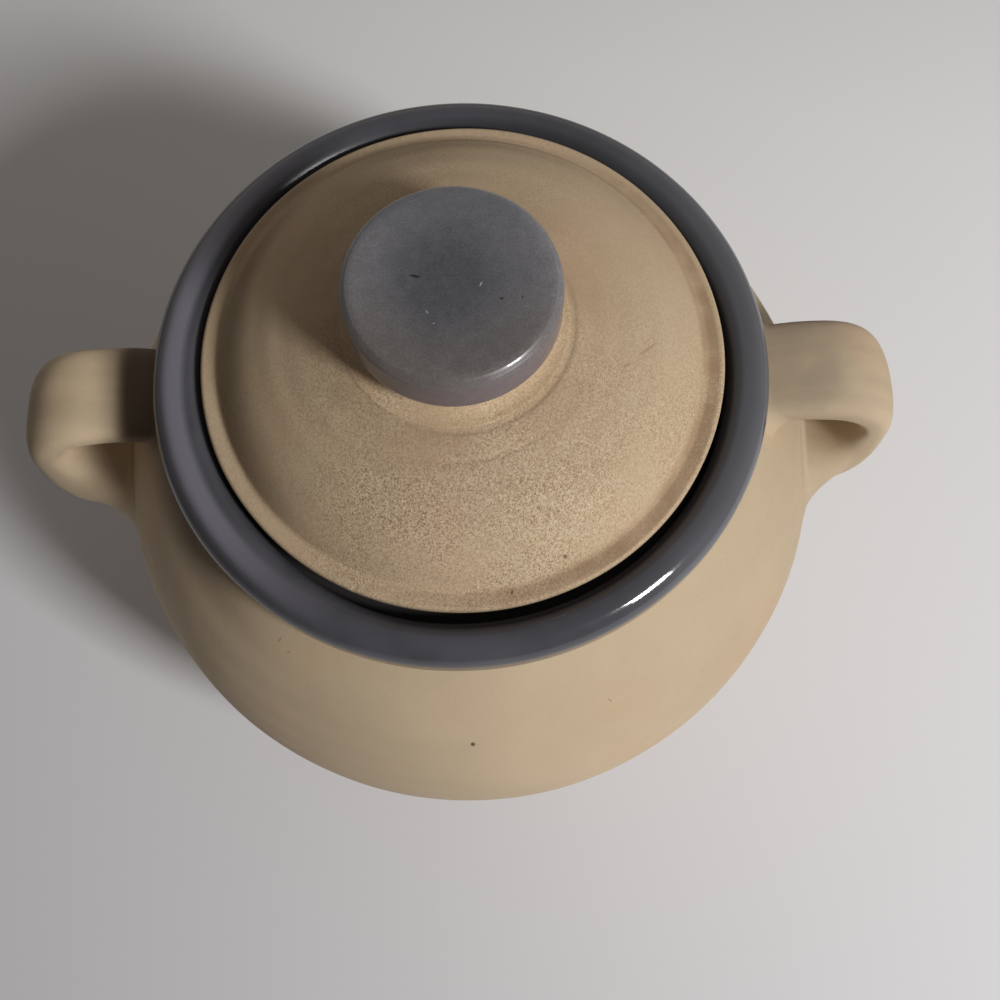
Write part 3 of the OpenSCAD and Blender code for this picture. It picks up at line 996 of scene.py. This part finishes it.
def rim_glaze_finish():
    """Thick blue-grey glaze, thin at its lower edge, with painted light and shade: paler at the sides,
    darker on the outer left and down the inner slope, dark down in the channel.
    """
    finish = Finish("blue_grey_glaze")
    x, _, z = finish.axes()
    radius = finish.radius()
    clouds = finish.between(finish.cloud(15, 3.0, 0.55), 0.32, 0.70)
    colour = finish.mix(clouds, srgb(67, 67, 72), srgb(78, 77, 83))
    # painted light: the glaze paler on the right
    right = finish.over(x, 20, 52, 0.0, 0.60)
    colour = finish.mix(right, colour, srgb(92, 93, 97))
    # painted light: the crest paler on the left
    crest = finish.times(finish.over(radius, 53.2, 55.0), finish.over(radius, 59.8, 56.6))
    left = finish.times(crest, finish.over(x, -22, -52, 0.0, 0.85))
    colour = finish.mix(left, colour, srgb(124, 121, 131))
    # thin glaze paler at its lower edge, with painted shade making it fainter on the left
    thin = finish.over(z, 116.3, 114.6)
    thin = finish.times(thin, finish.between(finish.cloud(8), 0.25, 0.7, 0.3, 0.75))
    thin = finish.times(thin, finish.over(x, -30, 20, 0.45, 1.0))
    colour = finish.mix(thin, colour, srgb(132, 124, 127))
    # painted shade on the outer flank of the rim, on the left
    outer_left_shade = finish.times(finish.over(radius, 57.4, 59.0), finish.over(x, -24, -46, 0.0, 0.6))
    colour = finish.mix(outer_left_shade, colour, srgb(52, 51, 55))
    # painted shade down the inner slope, away from the left, less dark on the right
    slope = finish.times(finish.over(radius, 55.6, 53.0, 0.0, 0.70), finish.over(x, -30, 0))
    colour = finish.mix(slope, colour, finish.mix(right, srgb(44, 43, 47), srgb(70, 70, 74)))
    # painted shade deep in the channel by the seat
    channel_painted_shade = finish.times(finish.over(radius, 53.5, 53.0), finish.over(z, 120.6, 119.0))
    colour = finish.mix(channel_painted_shade, colour, srgb(38, 35, 34))
    roughness = finish.between(finish.cloud(10), 0.3, 0.7, 0.09, 0.17)
    roughness = finish.maths("MAXIMUM", roughness, finish.over(radius, 55.6, 53.6, 0.0, 0.26))
    roughness = finish.maths("MAXIMUM", roughness, finish.over(radius, 53.2, 52.4, 0.0, 0.5))
    relief = finish.bump(finish.cloud(8, 2.0, 0.5), 0.04)
    return finish.done(colour, roughness, relief)


def knob_glaze_finish():
    """Satin grey glaze, mauve down the side, with painted reflection on the top: darker in the middle, paler
    round it.
    """
    finish = Finish("satin_grey_glaze")
    _, y, z = finish.axes()
    # painted reflection: the top darker in the middle and paler round its edge, most to the back and the
    # left
    wander = finish.between(finish.cloud(9), 0.2, 0.8, -2 * MM, 2 * MM)
    ring = finish.over(finish.maths("ADD", finish.radius(), wander), 4, 18)
    ring = finish.times(ring, finish.over(finish.towards(-0.8, 0.6), -18, 18, 0.85, 1.0))
    # painted reflection round the edge: palest at the sides, bluer to the back, browner to the front
    front = finish.over(y, 4, -14)
    back = finish.over(y, 6, 16)
    edge = finish.mix(back, srgb(121, 119, 122), srgb(106, 106, 110))
    edge = finish.mix(front, edge, srgb(109, 102, 99))
    colour = finish.mix(ring, srgb(82, 82, 87), edge)
    side = finish.over(z, 155.0, 152.8)
    colour = finish.mix(side, colour, srgb(104, 97, 105))
    fine = finish.between(finish.cloud(0.35, 2.0, 0.6), 0.30, 0.70, 0.84, 1.13)
    blotches = finish.between(finish.cloud(2.4, 3.0, 0.6), 0.30, 0.70, 0.92, 1.07)
    colour = finish.toned(colour, finish.times(fine, blotches))
    pits = finish.specks(6.5, 0.40, 0.16, (0.0023, 0.0041, 0.0017))
    colour = finish.mix(finish.times(pits, 0.6), colour, srgb(38, 37, 39))
    flecks = finish.specks(2.6, 0.28, 0.10, (0.011, 0.007, 0.003))
    colour = finish.mix(finish.times(flecks, 0.4), colour, srgb(168, 166, 168))
    scratches = [(-6.0, 1.0, -14, 2.6, 0.65), (8.4, -3.7, 10, 0.9, 0.55), (11.9, -3.6, 80, 0.7, 0.30)]
    colour = finish.marked(colour, scratches, srgb(22, 21, 23), 0.9)
    flicks = [(5.0, -0.9, 65, 1.3, 0.30), (-4.1, -5.7, -60, 0.9, 0.24), (-3.0, -7.8, 30, 0.5, 0.24)]
    colour = finish.marked(colour, flicks, srgb(196, 194, 196), 0.7)
    roughness = finish.between(finish.cloud(7, 4.0, 0.6), 0.3, 0.7, 0.30, 0.44)
    relief = finish.bump(finish.maths("SUBTRACT", finish.cloud(5, 2.0, 0.5), pits), 0.04)
    finish.shader.inputs["Coat Weight"].default_value = 0.40
    finish.shader.inputs["Coat Roughness"].default_value = 0.08
    return finish.done(colour, roughness, relief)


def lining_finish():
    """Glossy mid-grey glaze inside the pot and under the lid."""
    finish = Finish("grey_lining_glaze")
    clouds = finish.between(finish.cloud(13, 3.0, 0.55), 0.32, 0.70)
    colour = finish.mix(clouds, srgb(104, 102, 106), srgb(124, 121, 122))
    roughness = finish.between(finish.cloud(12), 0.3, 0.7, 0.12, 0.24)
    relief = finish.bump(finish.cloud(9, 2.0, 0.5), 0.06)
    return finish.done(colour, roughness, relief)


def paper_finish():
    """Pale matt paper, with painted light: whiter towards the back and the right."""
    finish = Finish("pale_paper")
    # painted light: the paper whiter towards the back and the right, darker towards the front and the left
    share = finish.between(finish.towards(0.32, 0.95), -0.17, 0.17, change="LINEAR")
    colour = finish.mix(share, srgb(209, 208, 211), srgb(243, 242, 242))
    finish.shader.inputs["Specular IOR Level"].default_value = 0.2
    return finish.done(colour, 0.9)


# Floor, light and camera

def pale_floor(finish):
    """A wide flat floor, 4 metres each way from the pot."""
    mesh = bmesh.new()
    bmesh.ops.create_grid(mesh, x_segments=2, y_segments=2, size=4)
    data = bpy.data.meshes.new("floor")
    mesh.to_mesh(data)
    mesh.free()
    data.materials.append(finish)
    floor = bpy.data.objects.new("floor", data)
    bpy.context.scene.collection.objects.link(floor)


def soft_window(power, distance, azimuth, elevation, width, height, target):
    """A soft box light that shines on the target from a direction given in degrees."""
    data = bpy.data.lights.new("soft_window", "AREA")
    data.shape = "RECTANGLE"
    data.size = width
    data.size_y = height
    data.energy = power
    lamp = bpy.data.objects.new("soft_window", data)
    bpy.context.scene.collection.objects.link(lamp)
    turn = math.radians(azimuth)
    lift = math.radians(elevation)
    away = Vector((math.cos(lift) * math.cos(turn), math.cos(lift) * math.sin(turn), math.sin(lift)))
    lamp.location = target + away * distance
    lamp.rotation_mode = "QUATERNION"
    lamp.rotation_quaternion = (-away).to_track_quat("-Z", "Y")


def room_light(overhead, level, back, right):
    """A dim room: darker overhead than at eye level, and brighter towards the back and the right."""
    world = bpy.data.worlds.new("room")
    bpy.context.scene.world = world
    world.use_nodes = True
    tree = world.node_tree
    coords = tree.nodes.new("ShaderNodeTexCoord")
    split = tree.nodes.new("ShaderNodeSeparateXYZ")
    height = tree.nodes.new("ShaderNodeMapRange")
    height.inputs["From Min"].default_value = 0.0
    height.inputs["From Max"].default_value = 0.85
    height.inputs["To Min"].default_value = level
    height.inputs["To Max"].default_value = overhead
    sides = tree.nodes.new("ShaderNodeVectorMath")
    sides.operation = "DOT_PRODUCT"
    sides.inputs[1].default_value = (right, back, 0)
    both = tree.nodes.new("ShaderNodeMath")
    both.operation = "MULTIPLY_ADD"
    background = tree.nodes["Background"]
    background.inputs["Color"].default_value = (1.0, 0.94, 0.89, 1.0)
    tree.links.new(coords.outputs["Generated"], split.inputs["Vector"])
    tree.links.new(coords.outputs["Generated"], sides.inputs[0])
    tree.links.new(split.outputs["Z"], height.inputs["Value"])
    tree.links.new(height.outputs["Result"], both.inputs[0])
    tree.links.new(sides.outputs["Value"], both.inputs[1])
    tree.links.new(height.outputs["Result"], both.inputs[2])
    tree.links.new(both.outputs["Value"], background.inputs["Strength"])


def photo_camera(place, pitch, roll, focal):
    """A camera at a place in millimetres, looking along +Y and down, focal in frame widths."""
    data = bpy.data.cameras.new("camera")
    data.sensor_width = 36
    data.lens = focal * data.sensor_width
    data.clip_start = 0.01
    data.clip_end = 50
    camera = bpy.data.objects.new("camera", data)
    bpy.context.scene.collection.objects.link(camera)
    bpy.context.scene.camera = camera
    tilt = math.radians(pitch)
    forward = Vector((0, math.cos(tilt), -math.sin(tilt)))
    right = Vector((1, 0, 0))
    down = forward.cross(right)
    lean = math.radians(roll)
    leaned_right = right * math.cos(lean) + down * math.sin(lean)
    leaned_down = down * math.cos(lean) - right * math.sin(lean)
    pose = Matrix((leaned_right, -leaned_down, -forward)).transposed().to_4x4()
    pose.translation = Vector(place) * MM
    camera.matrix_world = pose


def main():
    clay = pot_clay_finish()
    strap_clay = handle_clay_finish()
    lid = lid_clay_finish()
    lining = lining_finish()
    pot_clay(clay)
    rim_coat(rim_glaze_finish())
    pot_lining(lining)
    right = Strap(
        side=1, top_z=113.05, arch_r=50, leg_x=85.8, leg_h=6, half_w=10.4, flare=1.4,
        swelling=7.0, aside=0, lean=1.1, root_round=6.5, foot_round=12, seed=11.3,
    )
    left = Strap(
        side=-1, top_z=109.3, arch_r=60, leg_x=89.2, leg_h=2, half_w=10.2, flare=2.6,
        swelling=8.8, aside=1.8, lean=1.2, root_round=2.2, foot_round=12, seed=19.9,
    )
    strap_handle("strap_right", right, strap_clay, "handle_right")
    strap_handle("strap_left", left, strap_clay, "handle_left")
    lid_clay(lid)
    lid_lining(lining)
    knob_clay(lid)
    knob_coat(knob_glaze_finish())

    pale_floor(paper_finish())
    soft_window(power=5.6, distance=0.8, azimuth=-40.5, elevation=37.5, width=0.14, height=0.19,
                target=Vector((0, 0, 0.10)))
    room_light(overhead=0.11, level=0.30, back=0.80, right=0.15)
    photo_camera(place=(6.85, -89.23, 321.75), pitch=73.06, roll=2.14, focal=1.1)
    bpy.context.scene.view_settings.view_transform = "Standard"


main()
